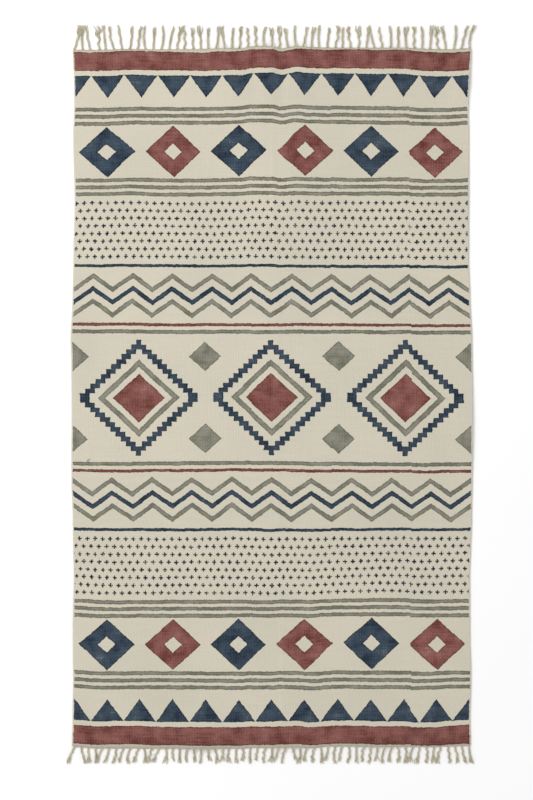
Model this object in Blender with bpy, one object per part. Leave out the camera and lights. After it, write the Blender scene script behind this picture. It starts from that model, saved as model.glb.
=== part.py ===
"""Flat-woven cotton floor rug, lying flat and face up, with a knotted warp fringe along each end.

Metres, +Z up. The rug's length runs along Y and its width along X. The origin is on the floor, under
the middle of the rug and its fringes. The cloth is one woven piece: it lies on the floor over most of its
area and lifts a little in a few soft ripples. Each fringe is one comb of tassels along an end of it.
"""

import math
from collections import namedtuple

import bmesh
import bpy

# Driving dimensions.
CLOTH_WIDTH = 0.900  # selvedge to selvedge, before they wander
CLOTH_LENGTH = 1.588  # first weft to last weft, before the ends wander
CLOTH_THICKNESS = 0.003
FAR_FRINGE = 0.056  # from the end of the cloth to the trimmed tips
NEAR_FRINGE = 0.040
FAR_TASSELS = 51
NEAR_TASSELS = 57
CORNER_ROOT = 0.0035  # from a selvedge to the middle of the corner tassel's root
MOST_TRIM = 0.007  # how much shorter than the longest the shortest tassel is cut

HALF_WIDTH = CLOTH_WIDTH / 2
HALF_LENGTH = CLOTH_LENGTH / 2
CLOTH_MIDDLE = (NEAR_FRINGE - FAR_FRINGE) / 2  # where the middle of the cloth lies along Y

# The cloth's own mesh.
CLOTH_ROWS = 28
CLOTH_COLUMNS = 57
COLUMN_WIDTH = CLOTH_WIDTH / CLOTH_COLUMNS

# The fringe comb: a strip of bare warp ends next to the cloth, and one tooth for each tassel.
PIECE_GAP = 0.0003  # between the cloth and the strip
STRIP_DEPTH = 0.004
STRIP_THICKNESS = 0.0026
TOOTH_ROOT_WIDTH = 0.0042
TOOTH_TIP_WIDTH = 0.0068
TOOTH_THICKNESS = 0.0038
TOOTH_STEPS = 4
ROOT_CLEARANCE = TOOTH_ROOT_WIDTH / 2 + 0.0008  # from the middle of a root to a column of the cloth
TIP_ROOM = TOOTH_TIP_WIDTH + 0.0008  # from the middle of one tip to the next
SWAY = 0.0015  # how far a tip strays from its neighbours' lean
BOW = 0.0022  # how far the middle of a tassel bends to the side
DROP_SHARE = 0.3  # the share of a tassel's length in which it comes down to the floor

Comb = namedtuple("Comb", "name end lean tassels length")
COMBS = [
    Comb(name="fringe_far_end", end=1, lean="far", tassels=FAR_TASSELS, length=FAR_FRINGE),
    Comb(name="fringe_near_end", end=-1, lean="near", tassels=NEAR_TASSELS, length=NEAR_FRINGE),
]

# How the two selvedges wander, outward from the mean line, at places along the length.
SideRow = namedtuple("SideRow", "y left right")
SELVEDGE_WANDER = [
    SideRow(y=-HALF_LENGTH, left=0.0035, right=0.0030),
    SideRow(y=-0.730, left=0.0020, right=0.0015),
    SideRow(y=-0.638, left=0.0008, right=0.0040),
    SideRow(y=-0.547, left=0.0015, right=0.0015),
    SideRow(y=-0.410, left=-0.0006, right=0.0011),
    SideRow(y=-0.274, left=0.0017, right=0.0051),
    SideRow(y=-0.183, left=0.0047, right=0.0065),
    SideRow(y=-0.046, left=0.0042, right=0.0068),
    SideRow(y=0.091, left=0.0045, right=0.0065),
    SideRow(y=0.136, left=0.0056, right=0.0058),
    SideRow(y=0.227, left=0.0020, right=0.0015),
    SideRow(y=0.318, left=0.0001, right=-0.0017),
    SideRow(y=0.455, left=-0.0026, right=-0.0010),
    SideRow(y=0.592, left=0.0006, right=-0.0010),
    SideRow(y=0.683, left=-0.0017, right=-0.0028),
    SideRow(y=0.728, left=-0.0010, right=0.0004),
    SideRow(y=HALF_LENGTH, left=0.0020, right=0.0046),
]

# How the two ends wander, outward from the mean line, at places across the width.
EndRow = namedtuple("EndRow", "x far near")
END_WANDER = [
    EndRow(x=-HALF_WIDTH, far=-0.0040, near=-0.0020),
    EndRow(x=-0.391, far=-0.0043, near=0.0016),
    EndRow(x=-0.322, far=-0.0021, near=0.0014),
    EndRow(x=-0.254, far=-0.0032, near=0.0025),
    EndRow(x=-0.186, far=-0.0027, near=0.0016),
    EndRow(x=-0.072, far=-0.0005, near=0.0022),
    EndRow(x=-0.038, far=0.0041, near=0.0002),
    EndRow(x=0.001, far=0.0036, near=0.0006),
    EndRow(x=0.022, far=-0.0009, near=-0.0013),
    EndRow(x=0.058, far=0.0036, near=-0.0014),
    EndRow(x=0.088, far=0.0016, near=0.0009),
    EndRow(x=0.133, far=0.0009, near=-0.0027),
    EndRow(x=0.293, far=0.0005, near=-0.0021),
    EndRow(x=0.361, far=-0.0025, near=-0.0016),
    EndRow(x=0.407, far=-0.0030, near=-0.0034),
    EndRow(x=HALF_WIDTH, far=-0.0004, near=-0.0043),
]

# How far to the right of their roots the tassels' tips lie, at places across the width.
LeanRow = namedtuple("LeanRow", "x far near")
LEANS = [
    LeanRow(x=-HALF_WIDTH + CORNER_ROOT, far=0.0100, near=-0.0165),
    LeanRow(x=-0.430, far=0.0000, near=0.0070),
    LeanRow(x=-0.408, far=-0.0110, near=-0.0030),
    LeanRow(x=-0.384, far=-0.0010, near=-0.0140),
    LeanRow(x=-0.350, far=-0.0120, near=-0.0110),
    LeanRow(x=-0.308, far=0.0080, near=-0.0060),
    LeanRow(x=-0.286, far=-0.0030, near=-0.0030),
    LeanRow(x=-0.252, far=0.0030, near=-0.0115),
    LeanRow(x=-0.228, far=0.0130, near=0.0010),
    LeanRow(x=-0.192, far=-0.0010, near=-0.0010),
    LeanRow(x=-0.130, far=0.0020, near=0.0050),
    LeanRow(x=-0.105, far=-0.0030, near=0.0010),
    LeanRow(x=-0.082, far=0.0060, near=0.0000),
    LeanRow(x=-0.060, far=-0.0060, near=0.0010),
    LeanRow(x=-0.020, far=0.0020, near=-0.0030),
    LeanRow(x=0.016, far=-0.0010, near=-0.0090),
    LeanRow(x=0.051, far=-0.0020, near=0.0040),
    LeanRow(x=0.082, far=0.0070, near=-0.0050),
    LeanRow(x=0.130, far=0.0060, near=-0.0030),
    LeanRow(x=0.188, far=-0.0030, near=-0.0030),
    LeanRow(x=0.218, far=0.0050, near=-0.0010),
    LeanRow(x=0.238, far=-0.0060, near=-0.0040),
    LeanRow(x=0.290, far=0.0050, near=0.0010),
    LeanRow(x=0.330, far=0.0030, near=-0.0040),
    LeanRow(x=0.360, far=0.0070, near=0.0060),
    LeanRow(x=0.384, far=-0.0030, near=-0.0020),
    LeanRow(x=0.400, far=-0.0050, near=0.0060),
    LeanRow(x=0.420, far=0.0190, near=0.0090),
    LeanRow(x=HALF_WIDTH - CORNER_ROOT, far=0.0165, near=0.0120),
]

# Soft ripples, where the cloth stands a little off the floor. Each is a round-topped ridge: its highest
# point, how far it reaches each way across and along the rug, and its height there.
Ripple = namedtuple("Ripple", "x y across along height")
RIPPLES = [
    Ripple(x=-0.110, y=HALF_LENGTH, across=0.055, along=0.130, height=0.0040),
    Ripple(x=-0.010, y=HALF_LENGTH, across=0.042, along=0.200, height=0.0070),
    Ripple(x=0.060, y=HALF_LENGTH, across=0.048, along=0.160, height=0.0055),
    Ripple(x=0.300, y=HALF_LENGTH, across=0.090, along=0.090, height=0.0020),
    Ripple(x=-0.160, y=-HALF_LENGTH, across=0.070, along=0.120, height=0.0050),
    Ripple(x=0.040, y=-HALF_LENGTH, across=0.060, along=0.150, height=0.0036),
    Ripple(x=0.250, y=-HALF_LENGTH, across=0.080, along=0.090, height=0.0022),
    Ripple(x=-HALF_WIDTH, y=0.120, across=0.070, along=0.150, height=0.0030),
    Ripple(x=HALF_WIDTH, y=-0.060, across=0.080, along=0.170, height=0.0034),
    Ripple(x=HALF_WIDTH, y=0.720, across=0.060, along=0.090, height=0.0036),
    Ripple(x=-HALF_WIDTH, y=-0.500, across=0.060, along=0.110, height=0.0026),
]

GROUND_CREAM = (0.62, 0.57, 0.46, 1.0)
WARP_BEIGE = (0.55, 0.49, 0.37, 1.0)


def smooth(share):
    """0 to 1 with no slope at either end."""
    return share * share * (3 - 2 * share)


def between_rows(rows, key, column, place):
    """A table's column at a place, eased from row to row."""
    place = min(max(place, getattr(rows[0], key)), getattr(rows[-1], key))
    for low, high in zip(rows, rows[1:]):
        start, stop = getattr(low, key), getattr(high, key)
        if place <= stop:
            share = smooth((place - start) / (stop - start))
            return getattr(low, column) * (1 - share) + getattr(high, column) * share
    return getattr(rows[-1], column)


def bell(distance, reach):
    """1 at distance 0, falling smoothly to 0 at reach and beyond."""
    return 0.5 + 0.5 * math.cos(math.pi * min(abs(distance) / reach, 1.0))


def lift(x, y):
    """How far the cloth's underside is off the floor, from its place on the mean rectangle."""
    return max(r.height * bell(x - r.x, r.across) * bell(y - r.y, r.along) for r in RIPPLES)


def laid(x, y):
    """Where a point of the mean rectangle lies once both edges wander."""
    side, reach_x = ("left", -x) if x < 0 else ("right", x)
    end, reach_y = ("near", -y) if y < 0 else ("far", y)
    out_x = between_rows(SELVEDGE_WANDER, "y", side, y) * reach_x / HALF_WIDTH
    out_y = between_rows(END_WANDER, "x", end, x) * smooth(reach_y / HALF_LENGTH)
    return x + out_x * math.copysign(1, x), y + out_y * math.copysign(1, y)


def material(name, colour, roughness):
    made = bpy.data.materials.new(name)
    made.use_nodes = True
    shader = made.node_tree.nodes["Principled BSDF"]
    shader.inputs["Base Color"].default_value = colour
    shader.inputs["Roughness"].default_value = roughness
    shader.inputs["Metallic"].default_value = 0.0
    made.diffuse_color = colour
    return made


def add_object(name, bm, finish):
    """Puts a finished bmesh, made round the middle of the cloth, into its place as one named object."""
    bmesh.ops.translate(bm, verts=bm.verts, vec=(0, CLOTH_MIDDLE, 0))
    bmesh.ops.recalc_face_normals(bm, faces=bm.faces)
    mesh = bpy.data.meshes.new(name)
    bm.to_mesh(mesh)
    bm.free()
    mesh.materials.append(finish)
    made = bpy.data.objects.new(name, mesh)
    bpy.context.scene.collection.objects.link(made)
    return made


def thickened(bm, thickness):
    """Turns an open sheet into a closed one, upwards."""
    raised = bmesh.ops.extrude_face_region(bm, geom=bm.faces[:])["geom"]
    corners = [part for part in raised if isinstance(part, bmesh.types.BMVert)]
    bmesh.ops.translate(bm, verts=corners, vec=(0, 0, thickness))


def woven_cloth(finish):
    """The whole woven piece. Its rows crowd towards the ends."""
    bm = bmesh.new()
    bmesh.ops.create_grid(bm, x_segments=CLOTH_COLUMNS, y_segments=CLOTH_ROWS, size=1)
    for corner in bm.verts:
        x = corner.co.x * HALF_WIDTH
        y = math.sin(corner.co.y * math.pi / 2) * HALF_LENGTH
        corner.co = (*laid(x, y), lift(x, y))
    thickened(bm, CLOTH_THICKNESS)
    return add_object("rug_cloth", bm, finish)


def end_of_cloth(x, end):
    """The point on the cloth's end, which is straight between its columns, and its height off the floor."""
    column = min(int((x + HALF_WIDTH) / COLUMN_WIDTH), CLOTH_COLUMNS - 1)
    left = column * COLUMN_WIDTH - HALF_WIDTH
    share = (x - left) / COLUMN_WIDTH
    low, high = (
        (*laid(place, end * HALF_LENGTH), lift(place, end * HALF_LENGTH))
        for place in (left, left + COLUMN_WIDTH)
    )
    return tuple(a * (1 - share) + b * share for a, b in zip(low, high))


def root_place(number, comb):
    """Where a tassel's root stands across the width: evenly spaced, but clear of the cloth's columns."""
    share = number / (comb.tassels - 1)
    even = (2 * share - 1) * (HALF_WIDTH - CORNER_ROOT)
    column = round((even + HALF_WIDTH) / COLUMN_WIDTH) * COLUMN_WIDTH - HALF_WIDTH
    if abs(even - column) >= ROOT_CLEARANCE:
        return even
    return column + math.copysign(ROOT_CLEARANCE, even - column)


def tip_places(roots, comb):
    """Where the tassels' tips lie across the width, none too near the one before it."""
    tips = []
    for number, root in enumerate(roots):
        from_corner = math.sin(math.pi * number / (comb.tassels - 1))
        stray = SWAY * math.sin(2.1 * number + 0.9 * comb.end) * from_corner
        tip = root + between_rows(LEANS, "x", comb.lean, root) + stray
        tips.append(max(tip, tips[-1] + TIP_ROOM) if tips else tip)
    return tips


def tassel_trim(number, comb):
    """How much shorter than the longest a tassel is cut. The corner tassels are as long as any."""
    from_corner = math.sin(math.pi * number / (comb.tassels - 1))
    return MOST_TRIM * from_corner * abs(math.sin(1.3 * number + comb.end)) ** 3


def grow_tooth(bm, face, number, root, tip_x, comb):
    """Draws one outer face of the strip out into a tassel, section by section."""
    root_x, end_y, height = end_of_cloth(root, comb.end)
    root_y = end_y + comb.end * (PIECE_GAP + STRIP_DEPTH)
    tip_y = comb.end * (HALF_LENGTH + comb.length - tassel_trim(number, comb))
    bow = BOW * math.sin(1.7 * number + 2.0 * comb.end)
    middle = face.calc_center_median()
    for step in range(1, TOOTH_STEPS + 1):
        share = step / TOOTH_STEPS
        face = bmesh.ops.extrude_discrete_faces(bm, faces=[face])["faces"][0]
        half = (TOOTH_ROOT_WIDTH + (TOOTH_TIP_WIDTH - TOOTH_ROOT_WIDTH) * share) / 2
        x = root_x + (tip_x - root_x) * share + bow * math.sin(math.pi * share)
        y = root_y + (tip_y - root_y) * share
        floor = height * (1 - smooth(min(share / DROP_SHARE, 1.0)))
        moved = [
            (
                x + math.copysign(half, corner.co.x - middle.x),
                y,
                floor + (TOOTH_THICKNESS if corner.co.z > middle.z else 0.0),
            )
            for corner in face.verts
        ]
        for corner, place in zip(face.verts, moved):
            corner.co = place
        middle = face.calc_center_median()


def fringe(comb, finish):
    """One comb: the strip of warp ends along an end of the cloth, with its tassels as teeth."""
    roots = [root_place(number, comb) for number in range(comb.tassels)]
    root_sides = [root + side * TOOTH_ROOT_WIDTH / 2 for root in roots for side in (-1, 1)]
    columns = [number * COLUMN_WIDTH - HALF_WIDTH for number in range(CLOTH_COLUMNS + 1)]
    sections = sorted(columns + root_sides)
    bm = bmesh.new()
    bmesh.ops.create_grid(bm, x_segments=len(sections) - 1, y_segments=1, size=1)
    for corner in bm.verts:
        number = round((corner.co.x + 1) / 2 * (len(sections) - 1))
        x, y, height = end_of_cloth(sections[number], comb.end)
        outward = PIECE_GAP + (STRIP_DEPTH if corner.co.y > 0 else 0.0)
        corner.co = (x, y + comb.end * outward, height)
    thickened(bm, STRIP_THICKNESS)
    bmesh.ops.recalc_face_normals(bm, faces=bm.faces)
    outer = sorted(
        (face for face in bm.faces if face.normal.y * comb.end > 0.5),
        key=lambda face: face.calc_center_median().x,
    )
    teeth = [outer[sections.index(side)] for side in root_sides[::2]]
    for number, (face, root, tip) in enumerate(zip(teeth, roots, tip_places(roots, comb))):
        grow_tooth(bm, face, number, root, tip, comb)
    return add_object(comb.name, bm, finish)


def main():
    for old in list(bpy.data.objects):
        bpy.data.objects.remove(old)
    cotton = material("printed_cotton", GROUND_CREAM, 0.9)
    yarn = material("warp_yarn", WARP_BEIGE, 0.9)
    woven_cloth(cotton)
    for comb in COMBS:
        fringe(comb, yarn)


main()
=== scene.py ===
"""Looks of a flat-woven cotton floor rug: the block-printed cloth and its two knotted fringes.

Metres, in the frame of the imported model: +Z up, length along Y, origin on the floor under the middle.
The cloth is one dense sheet with real warp ribs, and each fringe is one mesh of twisted yarns. The print is
worked out in the cloth's material from a few rows of motifs, mirrored about the middle of the rug.
"""

import math
import random
from collections import namedtuple

import bmesh
import bpy
from mathutils import Matrix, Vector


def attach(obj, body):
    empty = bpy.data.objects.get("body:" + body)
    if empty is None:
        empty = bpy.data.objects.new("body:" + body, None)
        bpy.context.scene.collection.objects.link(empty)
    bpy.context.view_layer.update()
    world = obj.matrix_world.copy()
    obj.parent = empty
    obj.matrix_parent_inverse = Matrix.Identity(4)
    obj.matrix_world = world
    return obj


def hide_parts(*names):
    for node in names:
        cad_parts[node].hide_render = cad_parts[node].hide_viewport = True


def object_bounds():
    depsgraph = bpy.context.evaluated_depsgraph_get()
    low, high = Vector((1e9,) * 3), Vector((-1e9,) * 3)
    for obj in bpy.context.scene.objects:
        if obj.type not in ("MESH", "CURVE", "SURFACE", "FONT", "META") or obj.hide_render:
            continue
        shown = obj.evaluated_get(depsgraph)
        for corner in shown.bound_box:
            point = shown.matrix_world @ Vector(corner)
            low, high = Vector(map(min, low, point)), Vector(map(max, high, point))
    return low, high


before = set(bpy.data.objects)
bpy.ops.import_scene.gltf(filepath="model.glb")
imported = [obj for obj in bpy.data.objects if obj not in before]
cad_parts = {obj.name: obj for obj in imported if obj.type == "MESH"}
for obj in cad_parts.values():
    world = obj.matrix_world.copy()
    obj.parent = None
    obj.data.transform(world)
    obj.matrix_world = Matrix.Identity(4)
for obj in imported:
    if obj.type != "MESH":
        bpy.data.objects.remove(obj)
cad_low, cad_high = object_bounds()

# The cloth, as the solid has it.
CLOTH_WIDTH = 0.900
CLOTH_LENGTH = 1.588
CLOTH_THICKNESS = 0.003
HALF_WIDTH = CLOTH_WIDTH / 2
HALF_LENGTH = CLOTH_LENGTH / 2

# The weave: each rib is one warp end with the weft packed over it.
RIB_COUNT = 245
RIB_PITCH = CLOTH_WIDTH / RIB_COUNT
RIB_RISE = 0.00035
PICK_PITCH = 0.0017  # from one weft to the next
SELVEDGE_ROUND = 0.0006  # how far the edge's middle stands out from its top and bottom
CLOTH_ROWS = 96

# The crease left by folding the rug in two along its length.
CREASE_FAR_X = 0.002
CREASE_NEAR_X = 0.026
CREASE_RISE = 0.0009
CREASE_REACH = 0.011

# The fringes, as the solids have them.
Comb = namedtuple("Comb", "name node end lean tassels length")
COMBS = [
    Comb(name="far_fringe", node="fringe_far_end", end=1, lean="far", tassels=51, length=0.056),
    Comb(name="near_fringe", node="fringe_near_end", end=-1, lean="near", tassels=57, length=0.040),
]
CLOTH_MIDDLE = (COMBS[1].length - COMBS[0].length) / 2  # where the middle of the cloth lies along Y
CORNER_ROOT = 0.0035  # from a selvedge to the middle of the corner tassel's root
STRIP_DEPTH = 0.0043  # from the end of the cloth to the tassels' roots
TIP_ROOM = 0.0076
SWAY = 0.0015
BOW = 0.0022
DROP_SHARE = 0.3
MOST_TRIM = 0.007

# The yarns of the fringes.
YARNS_A_TASSEL = 5
CORNER_YARNS = 8  # in each corner tassel, which has the doubled selvedge warps too
YARN_GAP = 0.0030  # from yarn to yarn where they leave the cloth
YARN_RADIUS = 0.00092
YARN_STEPS = 24
YARN_TURNS = 1.6  # of the yarns about each other, from knot to tip
KNOT_STEPS = 18
KNOT_TURNS = 1.6
KNOT_RADIUS = 0.0019
FUZZ_RADIUS = 0.00018
FUZZ_A_TASSEL = 3
CORD_STEPS = 180  # of each cord that runs along the end of the cloth
CORD_PLACES = (0.0007, 0.0022)  # how far out from the end of the cloth the cords run

# The finished ends, measured in from each end of the cloth.
HEADER = 0.004
END_BAND = 0.042

# The blocks that the print is stamped with.
BLOCK_WIDTH = 0.18
BLOCK_START = -0.045
BLOCK_SLIP = 0.0026

# The motifs of the print.
MOTIF_PITCH = 0.300
ZIGZAG_PITCH = 0.090
ZIGZAG_RISE = 0.016
ZIGZAG_WIDTH = 0.010
NAVY_ZIGZAG = 0.232
SAGE_ZIGZAGS = (0.203, 0.261)
SAGE_STRIPES = (0.150, 0.464, 0.480, 0.496, 0.628, 0.644, 0.660)
SAGE_STRIPE_WIDTH = 0.009
LARGE_LOZENGES = 0.562  # from the middle of the rug

# The smear of old ink.
SMUDGE_X = -0.413
SMUDGE_Y = -0.142

# How deep the finishes' fine relief is.
WEAVE_DEPTH = 0.0005
PLY_DEPTH = 0.0003

# The floor, the light and the camera, which looks straight down and takes in this length of floor.
FLOOR_HALF = 6
FLOOR_DROP = 0.0004
WORLD_LIGHT = 0.80
KEY_LIGHT_PLACE = (-2.6, 1.6, 3.4)
KEY_LIGHT_SIZE = 1.8
KEY_LIGHT_POWER = 84
VIEW_LENGTH = 1.8224
SENSOR_WIDTH = 36
CAMERA_HEIGHT = 6.0
CAMERA_X = -0.0114
CAMERA_Y = -0.0128

# How the two selvedges wander, outward from the mean line, at places along the length.
SideRow = namedtuple("SideRow", "y left right")
SELVEDGE_WANDER = [
    SideRow(y=-HALF_LENGTH, left=0.0035, right=0.0030),
    SideRow(y=-0.730, left=0.0020, right=0.0015),
    SideRow(y=-0.638, left=0.0008, right=0.0040),
    SideRow(y=-0.547, left=0.0015, right=0.0015),
    SideRow(y=-0.410, left=-0.0006, right=0.0011),
    SideRow(y=-0.274, left=0.0017, right=0.0051),
    SideRow(y=-0.183, left=0.0047, right=0.0065),
    SideRow(y=-0.046, left=0.0042, right=0.0068),
    SideRow(y=0.091, left=0.0045, right=0.0065),
    SideRow(y=0.136, left=0.0056, right=0.0058),
    SideRow(y=0.227, left=0.0020, right=0.0015),
    SideRow(y=0.318, left=0.0001, right=-0.0017),
    SideRow(y=0.455, left=-0.0026, right=-0.0010),
    SideRow(y=0.592, left=0.0006, right=-0.0010),
    SideRow(y=0.683, left=-0.0017, right=-0.0028),
    SideRow(y=0.728, left=-0.0010, right=0.0004),
    SideRow(y=HALF_LENGTH, left=0.0020, right=0.0046),
]

# How the two ends wander, outward from the mean line, at places across the width.
EndRow = namedtuple("EndRow", "x far near")
END_WANDER = [
    EndRow(x=-HALF_WIDTH, far=-0.0040, near=-0.0020),
    EndRow(x=-0.391, far=-0.0043, near=0.0016),
    EndRow(x=-0.322, far=-0.0021, near=0.0014),
    EndRow(x=-0.254, far=-0.0032, near=0.0025),
    EndRow(x=-0.186, far=-0.0027, near=0.0016),
    EndRow(x=-0.072, far=-0.0005, near=0.0022),
    EndRow(x=-0.038, far=0.0041, near=0.0002),
    EndRow(x=0.001, far=0.0036, near=0.0006),
    EndRow(x=0.022, far=-0.0009, near=-0.0013),
    EndRow(x=0.058, far=0.0036, near=-0.0014),
    EndRow(x=0.088, far=0.0016, near=0.0009),
    EndRow(x=0.133, far=0.0009, near=-0.0027),
    EndRow(x=0.293, far=0.0005, near=-0.0021),
    EndRow(x=0.361, far=-0.0025, near=-0.0016),
    EndRow(x=0.407, far=-0.0030, near=-0.0034),
    EndRow(x=HALF_WIDTH, far=-0.0004, near=-0.0043),
]

# How far to the right of their roots the tassels' tips lie, at places across the width.
LeanRow = namedtuple("LeanRow", "x far near")
LEANS = [
    LeanRow(x=-HALF_WIDTH + CORNER_ROOT, far=0.0100, near=-0.0165),
    LeanRow(x=-0.430, far=0.0000, near=0.0070),
    LeanRow(x=-0.408, far=-0.0110, near=-0.0030),
    LeanRow(x=-0.384, far=-0.0010, near=-0.0140),
    LeanRow(x=-0.350, far=-0.0120, near=-0.0110),
    LeanRow(x=-0.308, far=0.0080, near=-0.0060),
    LeanRow(x=-0.286, far=-0.0030, near=-0.0030),
    LeanRow(x=-0.252, far=0.0030, near=-0.0115),
    LeanRow(x=-0.228, far=0.0130, near=0.0010),
    LeanRow(x=-0.192, far=-0.0010, near=-0.0010),
    LeanRow(x=-0.130, far=0.0020, near=0.0050),
    LeanRow(x=-0.105, far=-0.0030, near=0.0010),
    LeanRow(x=-0.082, far=0.0060, near=0.0000),
    LeanRow(x=-0.060, far=-0.0060, near=0.0010),
    LeanRow(x=-0.020, far=0.0020, near=-0.0030),
    LeanRow(x=0.016, far=-0.0010, near=-0.0090),
    LeanRow(x=0.051, far=-0.0020, near=0.0040),
    LeanRow(x=0.082, far=0.0070, near=-0.0050),
    LeanRow(x=0.130, far=0.0060, near=-0.0030),
    LeanRow(x=0.188, far=-0.0030, near=-0.0030),
    LeanRow(x=0.218, far=0.0050, near=-0.0010),
    LeanRow(x=0.238, far=-0.0060, near=-0.0040),
    LeanRow(x=0.290, far=0.0050, near=0.0010),
    LeanRow(x=0.330, far=0.0030, near=-0.0040),
    LeanRow(x=0.360, far=0.0070, near=0.0060),
    LeanRow(x=0.384, far=-0.0030, near=-0.0020),
    LeanRow(x=0.400, far=-0.0050, near=0.0060),
    LeanRow(x=0.420, far=0.0190, near=0.0090),
    LeanRow(x=HALF_WIDTH - CORNER_ROOT, far=0.0165, near=0.0120),
]

# Soft ripples, where the cloth stands a little off the floor.
Ripple = namedtuple("Ripple", "x y across along height")
RIPPLES = [
    Ripple(x=-0.110, y=HALF_LENGTH, across=0.055, along=0.130, height=0.0040),
    Ripple(x=-0.010, y=HALF_LENGTH, across=0.042, along=0.200, height=0.0070),
    Ripple(x=0.060, y=HALF_LENGTH, across=0.048, along=0.160, height=0.0055),
    Ripple(x=0.300, y=HALF_LENGTH, across=0.090, along=0.090, height=0.0020),
    Ripple(x=-0.160, y=-HALF_LENGTH, across=0.070, along=0.120, height=0.0050),
    Ripple(x=0.040, y=-HALF_LENGTH, across=0.060, along=0.150, height=0.0036),
    Ripple(x=0.250, y=-HALF_LENGTH, across=0.080, along=0.090, height=0.0022),
    Ripple(x=-HALF_WIDTH, y=0.120, across=0.070, along=0.150, height=0.0030),
    Ripple(x=HALF_WIDTH, y=-0.060, across=0.080, along=0.170, height=0.0034),
    Ripple(x=HALF_WIDTH, y=0.720, across=0.060, along=0.090, height=0.0036),
    Ripple(x=-HALF_WIDTH, y=-0.500, across=0.060, along=0.110, height=0.0026),
]

# Colours of the dyed and undyed cotton, as linear red, green, blue and alpha.
CREAM = (0.600, 0.560, 0.460, 1.0)
CREAM_PALE = (0.660, 0.610, 0.490, 1.0)
NAVY = (0.006, 0.016, 0.032, 1.0)
NAVY_PALE = (0.048, 0.074, 0.104, 1.0)
BRICK = (0.118, 0.028, 0.022, 1.0)
BRICK_PALE = (0.262, 0.104, 0.088, 1.0)
SAGE = (0.135, 0.135, 0.100, 1.0)
SAGE_PALE = (0.265, 0.260, 0.205, 1.0)
SMUDGE = (0.180, 0.215, 0.240, 1.0)
YARN = (0.690, 0.620, 0.440, 1.0)
YARN_DARK = (0.500, 0.445, 0.300, 1.0)
YARN_LIGHT = (0.830, 0.765, 0.585, 1.0)


# ---------------------------------------------------------------- where things lie


def smooth(share):
    """0 to 1 with no slope at either end."""
    return share * share * (3 - 2 * share)


def between_rows(rows, key, column, place):
    """A table's column at a place, eased from row to row."""
    place = min(max(place, getattr(rows[0], key)), getattr(rows[-1], key))
    for low, high in zip(rows, rows[1:]):
        start, stop = getattr(low, key), getattr(high, key)
        if place <= stop:
            share = smooth((place - start) / (stop - start))
            return getattr(low, column) * (1 - share) + getattr(high, column) * share
    return getattr(rows[-1], column)


def bell(distance, reach):
    """1 at distance 0, falling smoothly to 0 at reach and beyond."""
    return 0.5 + 0.5 * math.cos(math.pi * min(abs(distance) / reach, 1.0))


def crease(x, y):
    """How far the fold's crease raises the cloth."""
    share = (HALF_LENGTH - y) / CLOTH_LENGTH
    middle = CREASE_FAR_X + (CREASE_NEAR_X - CREASE_FAR_X) * share + 0.002 * math.sin(9 * y)
    return CREASE_RISE * bell(x - middle, CREASE_REACH) * (0.7 + 0.3 * math.sin(17 * y))


def lift(x, y):
    """How far the cloth's underside is off the floor, from its place on the mean rectangle."""
    return max(r.height * bell(x - r.x, r.across) * bell(y - r.y, r.along) for r in RIPPLES)


def laid(x, y):
    """Where a point of the mean rectangle lies once both edges wander."""
    side, reach_x = ("left", -x) if x < 0 else ("right", x)
    end, reach_y = ("near", -y) if y < 0 else ("far", y)
    out_x = between_rows(SELVEDGE_WANDER, "y", side, y) * reach_x / HALF_WIDTH
    out_y = between_rows(END_WANDER, "x", end, x) * smooth(reach_y / HALF_LENGTH)
    return x + out_x * math.copysign(1, x), y + out_y * math.copysign(1, y)


# ---------------------------------------------------------------- shader maths


class Value:
    """A number that varies over a surface. Arithmetic on it adds Math nodes to its material."""

    def __init__(self, finish, socket):
        self.finish = finish
        self.socket = socket

    def math(self, operation, *others):
        node = self.finish.node("ShaderNodeMath", {"operation": operation}, dict(enumerate((self, *others))))
        return Value(self.finish, node.outputs[0])

    def __add__(self, other):
        return self.math("ADD", other)

    def __sub__(self, other):
        return self.math("SUBTRACT", other)

    def __rsub__(self, other):
        return (self * -1).math("ADD", other)

    def __mul__(self, other):
        return self.math("MULTIPLY", other)

    def __truediv__(self, other):
        return self.math("DIVIDE", other)

    def __abs__(self):
        return self.math("ABSOLUTE")

    __radd__ = __add__
    __rmul__ = __mul__


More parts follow.
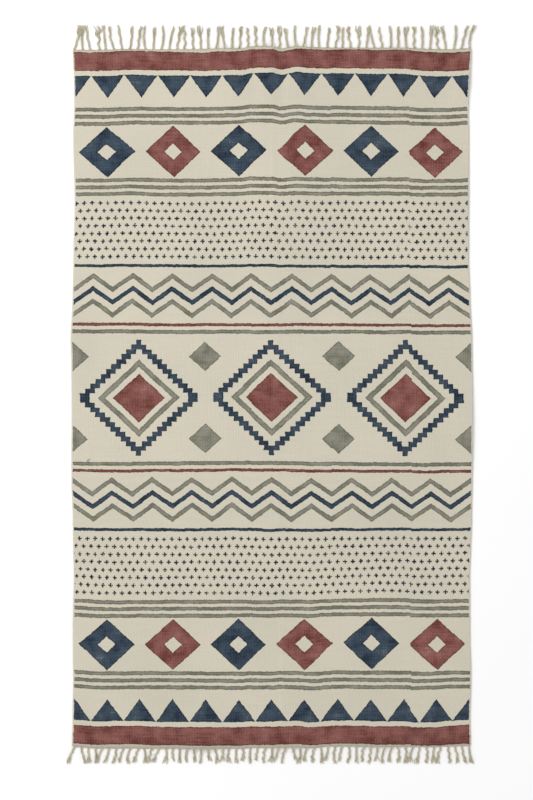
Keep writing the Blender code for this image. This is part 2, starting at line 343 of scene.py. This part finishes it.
class Finish:
    """One material, and the nodes that make it."""

    def __init__(self, name, sheen, specular):
        self.material = bpy.data.materials.new(name)
        self.material.use_nodes = True
        self.nodes = self.material.node_tree.nodes
        self.links = self.material.node_tree.links
        self.shader = self.nodes["Principled BSDF"]
        self.shader.inputs["Sheen Weight"].default_value = sheen
        self.shader.inputs["Specular IOR Level"].default_value = specular

    def node(self, kind, settings, sockets):
        """Adds a node: its settings first, then the value or link of each named or numbered socket."""
        made = self.nodes.new(kind)
        for setting, value in settings.items():
            setattr(made, setting, value)
        for socket, value in sockets.items():
            self.feed(made.inputs[socket], value)
        return made

    def feed(self, socket, value):
        """Links a socket to a value, or to another socket, or sets it."""
        if isinstance(value, Value):
            self.links.new(value.socket, socket)
        elif isinstance(value, bpy.types.NodeSocket):
            self.links.new(value, socket)
        else:
            socket.default_value = value

    def ramp(self, value, low, high):
        """0 where value is low, 1 where it is high, and eased between."""
        sockets = {"Value": value, "From Min": low, "From Max": high}
        node = self.node("ShaderNodeMapRange", {"interpolation_type": "SMOOTHSTEP"}, sockets)
        return Value(self, node.outputs["Result"])

    def place(self, across, along):
        """A point on the flat cloth, for a texture to read."""
        return self.node("ShaderNodeCombineXYZ", {}, {"X": across, "Y": along}).outputs["Vector"]

    def noise(self, point, scale, detail=2.0, flat=True):
        """Soft noise, around 0.5."""
        settings = {"noise_dimensions": "2D" if flat else "3D"}
        node = self.node("ShaderNodeTexNoise", settings, {"Vector": point, "Scale": scale, "Detail": detail})
        return Value(self, node.outputs["Fac"])

    def blend(self, share, first, second):
        """The colour between two colours."""
        settings = {"data_type": "RGBA", "clamp_factor": True}
        return self.node("ShaderNodeMix", settings, {0: share, 6: first, 7: second}).outputs[2]

    def bump(self, height, depth):
        """Raises the surface by height, which runs from 0 to 1, times depth in metres."""
        node = self.node("ShaderNodeBump", {}, {"Height": height, "Distance": depth})
        self.feed(self.shader.inputs["Normal"], node.outputs["Normal"])

    def coat(self, colour, roughness):
        self.feed(self.shader.inputs["Base Color"], colour)
        self.feed(self.shader.inputs["Roughness"], roughness)
        return self.material


# ---------------------------------------------------------------- the print's motifs
# Each gives how far inside the motif a point is, in metres, from its place across the rug and its distance
# from the middle of the rug's length. Outside the motif it is less than 0.


def least(first, second):
    return first.math("MINIMUM", second)


def most(first, second):
    return first.math("MAXIMUM", second)


def from_nearest(across, pitch, offset=0.0):
    """How far across a point is from the nearest of a row's motifs, which are a pitch apart."""
    return (across + offset).math("PINGPONG", pitch / 2)


def stripe(along, middle, width):
    """A plain stripe from selvedge to selvedge."""
    return width / 2 - abs(along - middle)


def zigzag(across, along, middle):
    """A zigzag line that swings either side of its middle."""
    steepness = 4 * ZIGZAG_RISE / ZIGZAG_PITCH
    swing = from_nearest(across, ZIGZAG_PITCH) * steepness - ZIGZAG_RISE
    return ZIGZAG_WIDTH / 2 - abs(along - middle - swing) * (1 / math.hypot(1, steepness))


def teeth(across, along, base, tip, pitch):
    """A row of triangles on a straight base, pointing at the tip line."""
    height = tip - base
    slope = pitch / 2 / abs(height)
    side = ((tip - along) * (slope * math.copysign(1, height)) - from_nearest(across, pitch)) * (
        1 / math.hypot(1, slope)
    )
    return least(side, (along - base) * math.copysign(1, height))


def lozenge(across, along, middle, pitch, width, height, offset=0.0):
    """A row of diamonds."""
    half_width, half_height = width / 2, height / 2
    inside = 1 - from_nearest(across, pitch, offset) / half_width - abs(along - middle) / half_height
    return inside * (half_width * half_height / math.hypot(half_width, half_height))


def stepped_ring(across, along, pitch, width, height, step, thick):
    """A row of diamond outlines whose sides go in steps, as a weaver's do."""
    level = (along / step).math("FLOOR") * step + step / 2
    half = width / 2 - level * (width / height)
    beside = from_nearest(across, pitch)
    above = height / 2 - along
    return least(least(half - beside, above), beside - half + thick)


def crosses(across, along, start, stop, pitch):
    """A field of small upright crosses, every other row moved across by half a pitch."""
    row = ((along - start) / pitch).math("FLOOR")
    shifted = across + row.math("MODULO", 2.0) * (pitch / 2)
    beside = from_nearest(shifted, pitch)
    above = from_nearest(along - start, pitch, pitch / 2)
    arms = least(0.0050 - most(beside, above), 0.0017 - least(beside, above))
    return least(arms, (stop - start) / 2 - abs(along - (start + stop) / 2))


def most_of(motifs):
    """All of an ink's motifs together."""
    together = motifs[0]
    for motif in motifs[1:]:
        together = most(together, motif)
    return together


def navy_motifs(across, along):
    return [
        stepped_ring(across, along, MOTIF_PITCH, 0.276, 0.264, 0.011, 0.022),
        zigzag(across, along, NAVY_ZIGZAG),
        stripe(along, 0.300, 0.007),
        crosses(across, along, 0.312, 0.452, 0.0175),
        least(
            lozenge(across, along, LARGE_LOZENGES, MOTIF_PITCH, 0.128, 0.118, MOTIF_PITCH / 4),
            -1 * lozenge(across, along, LARGE_LOZENGES, MOTIF_PITCH, 0.040, 0.037, MOTIF_PITCH / 4),
        ),
        teeth(across, along, 0.737, 0.686, 0.075),
    ]


def brick_motifs(across, along):
    return [
        lozenge(across, along, 0.0, MOTIF_PITCH, 0.118, 0.112),
        stripe(along, 0.166, 0.007),
        least(
            lozenge(across, along, LARGE_LOZENGES, MOTIF_PITCH, 0.128, 0.118, -MOTIF_PITCH / 4),
            -1 * lozenge(across, along, LARGE_LOZENGES, MOTIF_PITCH, 0.040, 0.037, -MOTIF_PITCH / 4),
        ),
        stripe(along, HALF_LENGTH - HEADER - END_BAND / 2, END_BAND),
    ]


def sage_motifs(across, along):
    ring = least(
        lozenge(across, along, 0.0, MOTIF_PITCH, 0.184, 0.176),
        -1 * lozenge(across, along, 0.0, MOTIF_PITCH, 0.150, 0.144),
    )
    return [
        ring,
        lozenge(across, along, 0.094, MOTIF_PITCH, 0.074, 0.068, 0.150),
        *(zigzag(across, along, middle) for middle in SAGE_ZIGZAGS),
        *(stripe(along, middle, SAGE_STRIPE_WIDTH) for middle in SAGE_STRIPES),
    ]


# ---------------------------------------------------------------- finishes


def flat_place(finish):
    """Where a point is on the flat cloth: across and along, in metres from its middle."""
    where = finish.node("ShaderNodeUVMap", {"uv_map": "flat_cloth"}, {}).outputs["UV"]
    parts = finish.node("ShaderNodeSeparateXYZ", {}, {"Vector": where})
    return Value(finish, parts.outputs["X"]), Value(finish, parts.outputs["Y"])


def weave_height(finish, across, along):
    """The grain of each weft where it passes over a warp. Neighbouring ribs are half a pick apart."""
    waver = finish.noise(finish.place(across * 22, along * 90), 1.0, 1.0)
    rib = across / RIB_PITCH
    pick = along / PICK_PITCH + rib.math("FLOOR") * 0.5 + waver * 1.6
    grain = abs((pick * math.pi).math("SINE"))
    crown = abs((rib * math.pi).math("SINE"))
    fibre = finish.noise(finish.place(across * 500, along * 2600), 1.0, 1.0)
    return crown * grain * 0.75 + crown * 0.25 + fibre * 0.25


def ground_colour(finish, across, along):
    """Undyed cotton: weft by weft a little paler or darker, with slubs and a soft overall unevenness."""
    broad = finish.noise(finish.place(across, along), 5.0, 3.0)
    streaks = finish.noise(finish.place(across * 12, along * 420), 1.0, 3.0)
    mottle = finish.noise(finish.place(across, along), 320.0, 2.0)
    tone = broad * 0.45 + streaks * 0.30 + mottle * 0.45
    return finish.blend(finish.ramp(tone, 0.42, 0.78), CREAM, CREAM_PALE)


def ink_cover(finish, depth, valley, across, along):
    """(how much of the ink is there, how strong it is), from how far inside its motifs a point is."""
    point = finish.place(across, along)
    fine = (finish.noise(point, 520.0, 2.0) - 0.5) * 0.0022
    coarse = (finish.noise(point, 140.0, 1.0) - 0.5) * 0.0024
    rough = fine + coarse
    printed = finish.ramp(HALF_WIDTH - abs(across) + rough, 0.0012, 0.0024)
    cover = finish.ramp(depth + rough, -0.0004, 0.0007) * printed
    rim = 1 - finish.ramp(depth, 0.0006, 0.0032)
    blotch = finish.noise(point, 30.0, 3.0)
    grain = finish.noise(finish.place(across * 300, along * 520), 1.0, 2.0)
    streak = finish.noise(finish.place(across * 16, along * 380), 1.0, 2.0)
    strength = blotch * 1.0 + rim * 0.50 + grain * 0.7 - streak * 0.5 - valley * 0.25 - 0.04
    return cover, strength


def ink_on(finish, under, motifs, colours, valley, across, along):
    """The colour once one ink is printed over the colour under it."""
    cover, strength = ink_cover(finish, most_of(motifs), valley, across, along)
    full, pale = colours
    ink = finish.blend(finish.ramp(strength, 0.24, 0.84), pale, full)
    missed = finish.ramp(strength, 0.16, -0.06)
    return finish.blend(cover * (1 - missed * 0.4), under, ink)


def registered(finish, across, along):
    """The print's own place, a little askew where the cloth has stretched and where two blocks meet."""
    point = finish.place(across, along)
    moved = [across, along]
    for scale, reach in ((3.0, 0.010), (34.0, 0.0030)):
        sockets = {"Vector": point, "Scale": scale}
        pull = finish.node("ShaderNodeTexNoise", {"noise_dimensions": "2D"}, sockets)
        parts = finish.node("ShaderNodeSeparateColor", {}, {"Color": pull.outputs["Color"]})
        for axis, channel in enumerate(("Red", "Green")):
            moved[axis] += (Value(finish, parts.outputs[channel]) - 0.5) * reach
    block = ((across - BLOCK_START) / BLOCK_WIDTH).math("FLOOR")
    slip = finish.node("ShaderNodeTexWhiteNoise", {"noise_dimensions": "1D"}, {"W": block}).outputs["Value"]
    slip = (Value(finish, slip) - 0.5) * BLOCK_SLIP
    return moved[0] + slip, moved[1] + slip


def smudge_cover(finish, across, along):
    """One faint grey-blue smear of old ink, on the cream near the left selvedge."""
    beside, above = across - SMUDGE_X, along - SMUDGE_Y
    long_way = (beside * 0.82 + above * 0.57) / 0.0065
    short_way = (above * 0.82 - beside * 0.57) / 0.0026
    distance = (long_way * long_way + short_way * short_way).math("SQRT")
    rough = finish.noise(finish.place(across, along), 400.0, 2.0) - 0.5
    return finish.ramp(distance + rough * 1.6, 1.1, 0.5) * 0.7


def printed_cotton():
    finish = Finish("printed_cotton", sheen=0.15, specular=0.2)
    across, along = flat_place(finish)
    valley = 1 - abs((across / RIB_PITCH * math.pi).math("SINE"))
    print_across, print_along = registered(finish, across, along)
    from_middle = abs(print_along)
    colour = ground_colour(finish, across, along)
    colour = finish.blend(smudge_cover(finish, across, along), colour, SMUDGE)
    inks = [
        (sage_motifs, (SAGE, SAGE_PALE)),
        (navy_motifs, (NAVY, NAVY_PALE)),
        (brick_motifs, (BRICK, BRICK_PALE)),
    ]
    for motifs, colours in inks:
        drawn = motifs(print_across, from_middle)
        colour = ink_on(finish, colour, drawn, colours, valley, across, along)
    finish.bump(weave_height(finish, across, along), WEAVE_DEPTH)
    wear = finish.noise(finish.place(across, along), 60.0, 2.0)
    return finish.coat(colour, wear * 0.16 + 0.80)


def plain_cotton():
    """The underside, which the print doesn't reach."""
    finish = Finish("plain_cotton", sheen=0.15, specular=0.2)
    across, along = flat_place(finish)
    finish.bump(weave_height(finish, across, along), WEAVE_DEPTH)
    wear = finish.noise(finish.place(across, along), 60.0, 2.0)
    return finish.coat(ground_colour(finish, across, along), wear * 0.14 + 0.83)


def warp_yarn():
    """Undyed cotton yarn: a little darker or paler at random, yarn by yarn and fibre by fibre, with the
    plies' twist in its relief.
    """
    finish = Finish("warp_yarn", sheen=0.2, specular=0.2)
    place = finish.node("ShaderNodeTexCoord", {}, {}).outputs["Object"]
    parts = finish.node("ShaderNodeSeparateXYZ", {}, {"Vector": place})
    x, y = (Value(finish, parts.outputs[axis]) for axis in "XY")
    yarn_by_yarn = finish.noise(finish.place(x * 420, y * 30), 1.0, 2.0)
    fibres = finish.noise(place, 900.0, 2.0, flat=False)
    tone = yarn_by_yarn * 0.6 + fibres * 0.5
    dark = finish.blend(finish.ramp(tone, 0.35, 0.62), YARN_DARK, YARN)
    colour = finish.blend(finish.ramp(tone, 0.55, 0.85), dark, YARN_LIGHT)
    around = finish.node("ShaderNodeUVMap", {"uv_map": "along_yarn"}, {}).outputs["UV"]
    parts = finish.node("ShaderNodeSeparateXYZ", {}, {"Vector": around})
    turned, length = (Value(finish, parts.outputs[axis]) for axis in "XY")
    ply = abs(((turned + length * 9) * math.tau).math("SINE"))
    finish.bump(ply + fibres * 0.4, PLY_DEPTH)
    return finish.coat(colour, fibres * 0.12 + 0.84)


def floor_finish():
    finish = Finish("pale_floor", sheen=0.0, specular=0.1)
    place = finish.node("ShaderNodeTexCoord", {}, {}).outputs["Object"]
    mottle = finish.noise(place, 3.0, 2.0, flat=False)
    return finish.coat(finish.blend(mottle, (0.955, 0.955, 0.955, 1.0), (0.975, 0.975, 0.975, 1.0)), 0.9)


# ---------------------------------------------------------------- pieces


def add_piece(name, mesh, *finishes):
    """Adds a mesh, which was made round the middle of the cloth, and moves it into the frame."""
    mesh.transform(Matrix.Translation((0, CLOTH_MIDDLE, 0)))
    piece = bpy.data.objects.new(name, mesh)
    bpy.context.scene.collection.objects.link(piece)
    for finish in finishes:
        mesh.materials.append(finish)
    return piece


def raised_copy(bm, layer, level):
    """Extrudes the sheet's top and marks the new points with their level between its two faces."""
    top = [face for face in bm.faces if face.tag]
    edges = dict.fromkeys(edge for face in top for edge in face.edges)
    corners = dict.fromkeys(corner for face in top for corner in face.verts)
    made = bmesh.ops.extrude_face_region(bm, geom=[*top, *edges, *corners])["geom"]
    for face in bm.faces:
        face.tag = False
    for part in made:
        if isinstance(part, bmesh.types.BMVert):
            part[layer].z = level
            part.co.z = level * CLOTH_THICKNESS
        elif isinstance(part, bmesh.types.BMFace):
            part.tag = True


def cloth_point(u, v, level):
    """Where a point of the flat cloth lies: level is 0 on the underside and 1 on the printed face."""
    x, y = laid(u, v)
    column = round((u + HALF_WIDTH) / (RIB_PITCH / 2))
    on_rib = column % 2
    rise = RIB_RISE * (on_rib if level == 1 else 1 - on_rib if level == 0 else 0.5)
    rounding = SELVEDGE_ROUND * (1 if level == 0.5 else -1)
    if abs(u) > HALF_WIDTH - RIB_PITCH / 4:
        x += math.copysign(rounding, u) + math.copysign(0.0004 * math.sin(61 * v + 2 * math.sin(23 * v)), u)
    if abs(v) > HALF_LENGTH - 0.001:
        y += math.copysign(rounding, v)
    return x, y, lift(u, v) + crease(u, v) + level * (CLOTH_THICKNESS - RIB_RISE) + rise


def woven_cloth():
    bm = bmesh.new()
    flat = bm.verts.layers.float_vector.new("flat")
    bmesh.ops.create_grid(bm, x_segments=2 * RIB_COUNT, y_segments=CLOTH_ROWS, size=1)
    for corner in bm.verts:
        corner.co.x *= HALF_WIDTH
        corner.co.y *= HALF_LENGTH
        corner[flat] = corner.co
    for face in bm.faces:
        face.tag = True
    for level in (0.5, 1.0):
        raised_copy(bm, flat, level)
    bmesh.ops.recalc_face_normals(bm, faces=bm.faces)
    for face in bm.faces:
        face.smooth = True
        face.material_index = int(face.normal.z < -0.5)
    unwrapped = bm.loops.layers.uv.new("flat_cloth")
    for face in bm.faces:
        for loop in face.loops:
            loop[unwrapped].uv = loop.vert[flat].xy
    for corner in bm.verts:
        corner.co = cloth_point(*corner[flat])
    bm.verts.layers.float_vector.remove(flat)
    mesh = bpy.data.meshes.new("woven_cloth")
    bm.to_mesh(mesh)
    bm.free()
    return add_piece("woven_cloth", mesh, printed_cotton(), plain_cotton())


def tip_places(roots, comb):
    """Where the tassels' tips lie across the width, none too near the one before it."""
    tips = []
    for number, root in enumerate(roots):
        from_corner = math.sin(math.pi * number / (comb.tassels - 1))
        stray = SWAY * math.sin(2.1 * number + 0.9 * comb.end) * from_corner
        tip = root + between_rows(LEANS, "x", comb.lean, root) + stray
        tips.append(max(tip, tips[-1] + TIP_ROOM) if tips else tip)
    return tips


def tassel_trim(number, comb):
    """How much shorter than the longest a tassel is cut."""
    from_corner = math.sin(math.pi * number / (comb.tassels - 1))
    return MOST_TRIM * from_corner * abs(math.sin(1.3 * number + comb.end)) ** 3


class Tassel:
    """The line that a tassel's yarns follow from its knot to its tip."""

    def __init__(self, number, root, tip, comb, draw):
        x, y = laid(root, comb.end * HALF_LENGTH)
        self.end = comb.end
        self.middle = root
        self.root = (x + draw.uniform(-0.0008, 0.0008), y + comb.end * STRIP_DEPTH)
        self.height = lift(root, comb.end * HALF_LENGTH)
        self.in_corner = number in (0, comb.tassels - 1)
        stray = 0.0 if self.in_corner else draw.gauss(0, 0.0022)
        self.tip = (tip + stray, comb.end * (HALF_LENGTH + comb.length - tassel_trim(number, comb)))
        self.bow = BOW * math.sin(1.7 * number + 2.0 * comb.end) + draw.gauss(0, 0.0011)
        self.kink = draw.gauss(0, 0.0008)
        self.phase = draw.uniform(0, math.tau)
        self.loosens_at = draw.uniform(0.25, 0.75)
        self.opening = draw.uniform(0.0014, 0.0046)

    def point(self, share):
        """(x, y, height off the floor) of the tassel's own line."""
        x = self.root[0] + (self.tip[0] - self.root[0]) * share
        x += self.bow * math.sin(math.pi * share) + self.kink * math.sin(2.6 * math.tau * share + self.phase)
        y = self.root[1] + (self.tip[1] - self.root[1]) * share
        return x, y, self.height * (1 - smooth(min(share / DROP_SHARE, 1.0)))


def add_yarn(curve, points, radii):
    """One yarn through the given points. A radius is a share of the curve's own."""
    yarn = curve.splines.new("POLY")
    yarn.points.add(len(points) - 1)
    for knot, point, radius in zip(yarn.points, points, radii):
        knot.co = (*point, 1.0)
        knot.radius = radius


def yarn_points(tassel, number, count, draw):
    """A yarn's path: out of the cloth as a warp end, gathered into the knot, then twisted with the others."""
    end = tassel.end
    spread = YARN_GAP * YARNS_A_TASSEL * ((number + 0.5) / count - 0.5)
    limit = HALF_WIDTH - YARN_RADIUS
    warp_x = min(max(tassel.middle + spread, -limit), limit)
    edge_x, edge_y = laid(warp_x, end * HALF_LENGTH)
    height = tassel.height + CLOTH_THICKNESS / 2
    points = [
        (edge_x, edge_y - end * 0.003, height),
        (edge_x, edge_y + end * 0.0006, height),
        (
            edge_x * 0.55 + tassel.root[0] * 0.45,
            edge_y * 0.45 + tassel.root[1] * 0.55,
            height + 0.0003 * (number % 2),
        ),
    ]
    angle = math.tau * number / count + tassel.phase
    drift = draw.gauss(0, 1.0)
    reach = 1.0 - draw.uniform(0.0, 0.09)
    for step in range(YARN_STEPS + 1):
        share = reach * step / YARN_STEPS
        x, y, floor = tassel.point(share)
        loose = max(0.0, (share - tassel.loosens_at) / (1 - tassel.loosens_at))
        ring = 0.0007 + 0.0007 * smooth(min(share / 0.15, 1.0))
        turned = angle + math.tau * YARN_TURNS * (share - 0.35 * loose * (share - tassel.loosens_at))
        side = ring * math.cos(turned) + tassel.opening * loose * (math.cos(angle) + 0.5 * drift)
        side += 0.0006 * loose * math.sin(19 * share + 3 * angle)
        up = ring * (1 - 0.6 * loose) * math.sin(turned)
        middle = floor + YARN_RADIUS + ring * (1 - 0.6 * loose) + 0.0002
        points.append((x + side, y, max(middle + up, YARN_RADIUS)))
    return points


def knot_points(tassel):
    """The wrap that holds a tassel together against the end of the cloth."""
    x, y, floor = tassel.point(0.0)
    points = []
    for step in range(KNOT_STEPS + 1):
        share = step / KNOT_STEPS
        angle = tassel.phase + math.tau * KNOT_TURNS * share
        points.append(
            (
                x + KNOT_RADIUS * math.cos(angle),
                y + tassel.end * 0.0022 * (share - 0.35),
                floor + YARN_RADIUS + KNOT_RADIUS * (1 + 0.85 * math.sin(angle)) * 0.9,
            )
        )
    return points


def fuzz_points(tassel, draw):
    """A stray fibre bundle that has come loose from the side of a tassel."""
    start = draw.uniform(0.1, 0.8)
    side = draw.choice((-1, 1))
    reach = draw.uniform(0.0015, 0.0045)
    points = []
    for step in range(6):
        share = start + 0.035 * step
        x, y, floor = tassel.point(min(share, 1.0))
        out = 0.0016 + reach * (step / 5) ** 1.5
        points.append((x + side * out, y, floor + 0.0012 + 0.0006 * math.sin(step)))
    return points


def cord_points(comb, out):
    """A thin cord along the end of the cloth, which keeps the last weft in place."""
    points = []
    for step in range(CORD_STEPS + 1):
        u = (2 * step / CORD_STEPS - 1) * (HALF_WIDTH - 0.001)
        x, y = laid(u, comb.end * HALF_LENGTH)
        height = lift(u, comb.end * HALF_LENGTH) + CLOTH_THICKNESS / 2
        points.append((x, y + comb.end * out, height))
    return points


def fringe(comb, finish):
    """All the tassels along one end of the cloth, as one mesh of yarns."""
    draw = random.Random(31 + comb.end)
    curve = bpy.data.curves.new(comb.name, "CURVE")
    curve.dimensions = "3D"
    curve.bevel_depth = YARN_RADIUS
    curve.bevel_resolution = 1
    curve.use_fill_caps = True
    roots = [(2 * n / (comb.tassels - 1) - 1) * (HALF_WIDTH - CORNER_ROOT) for n in range(comb.tassels)]
    for number, (root, tip) in enumerate(zip(roots, tip_places(roots, comb))):
        tassel = Tassel(number, root, tip, comb, draw)
        count = CORNER_YARNS if tassel.in_corner else YARNS_A_TASSEL
        for yarn in range(count):
            points = yarn_points(tassel, yarn, count, draw)
            thickness = draw.uniform(0.85, 1.15)
            fray = [1.0 - 0.35 * smooth(max(0.0, (i / len(points) - 0.8) / 0.2)) for i in range(len(points))]
            add_yarn(curve, points, [thickness * share for share in fray])
        add_yarn(curve, knot_points(tassel), [0.92] * (KNOT_STEPS + 1))
        for _ in range(FUZZ_A_TASSEL):
            points = fuzz_points(tassel, draw)
            add_yarn(curve, points, [FUZZ_RADIUS / YARN_RADIUS] * len(points))
    for out in CORD_PLACES:
        add_yarn(curve, cord_points(comb, out), [0.85] * (CORD_STEPS + 1))
    return meshed(comb.name, curve, finish)


def meshed(name, curve, finish):
    """The curve's yarns as one mesh of closed tubes."""
    drawn = bpy.data.objects.new(name + "_curve", curve)
    bpy.context.scene.collection.objects.link(drawn)
    mesh = bpy.data.meshes.new_from_object(drawn.evaluated_get(bpy.context.evaluated_depsgraph_get()))
    bpy.data.objects.remove(drawn)
    mesh.name = name
    mesh.materials.clear()
    mesh.uv_layers[0].name = "along_yarn"
    bm = bmesh.new()
    bm.from_mesh(mesh)
    bmesh.ops.remove_doubles(bm, verts=bm.verts, dist=1e-6)
    bmesh.ops.recalc_face_normals(bm, faces=bm.faces)
    for face in bm.faces:
        face.smooth = True
    bm.to_mesh(mesh)
    bm.free()
    return add_piece(name, mesh, finish)


# ---------------------------------------------------------------- floor, light and camera


def floor():
    bm = bmesh.new()
    bmesh.ops.create_grid(bm, x_segments=1, y_segments=1, size=FLOOR_HALF)
    bmesh.ops.translate(bm, verts=bm.verts, vec=(0, 0, cad_low.z - FLOOR_DROP))
    mesh = bpy.data.meshes.new("floor")
    bm.to_mesh(mesh)
    bm.free()
    add_piece("floor", mesh, floor_finish())


def soft_light(name, place, size, power):
    """A square lamp that faces the middle of the rug."""
    lamp = bpy.data.lights.new(name, "AREA")
    lamp.size = size
    lamp.energy = power
    held = bpy.data.objects.new(name, lamp)
    held.location = place
    held.rotation_euler = held.location.to_track_quat("Z", "Y").to_euler()
    bpy.context.scene.collection.objects.link(held)


def studio():
    world = bpy.data.worlds.new("studio")
    world.use_nodes = True
    world.node_tree.nodes["Background"].inputs["Color"].default_value = (1.0, 1.0, 1.0, 1.0)
    world.node_tree.nodes["Background"].inputs["Strength"].default_value = WORLD_LIGHT
    bpy.context.scene.world = world
    soft_light("key_light", KEY_LIGHT_PLACE, KEY_LIGHT_SIZE, KEY_LIGHT_POWER)
    bpy.context.scene.view_settings.view_transform = "Standard"


def camera():
    lens = bpy.data.cameras.new("camera")
    lens.sensor_width = SENSOR_WIDTH
    lens.lens = SENSOR_WIDTH * CAMERA_HEIGHT / VIEW_LENGTH
    lens.clip_end = 50
    held = bpy.data.objects.new("camera", lens)
    held.location = (CAMERA_X, CAMERA_Y, CAMERA_HEIGHT)
    bpy.context.scene.collection.objects.link(held)
    bpy.context.scene.camera = held


def main():
    cloth = woven_cloth()
    yarn = warp_yarn()
    fringes = [fringe(comb, yarn) for comb in COMBS]
    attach(cloth, "root")
    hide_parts("rug_cloth")
    for comb, piece in zip(COMBS, fringes):
        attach(piece, "root")
        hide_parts(comb.node)
    floor()
    studio()
    camera()


main()
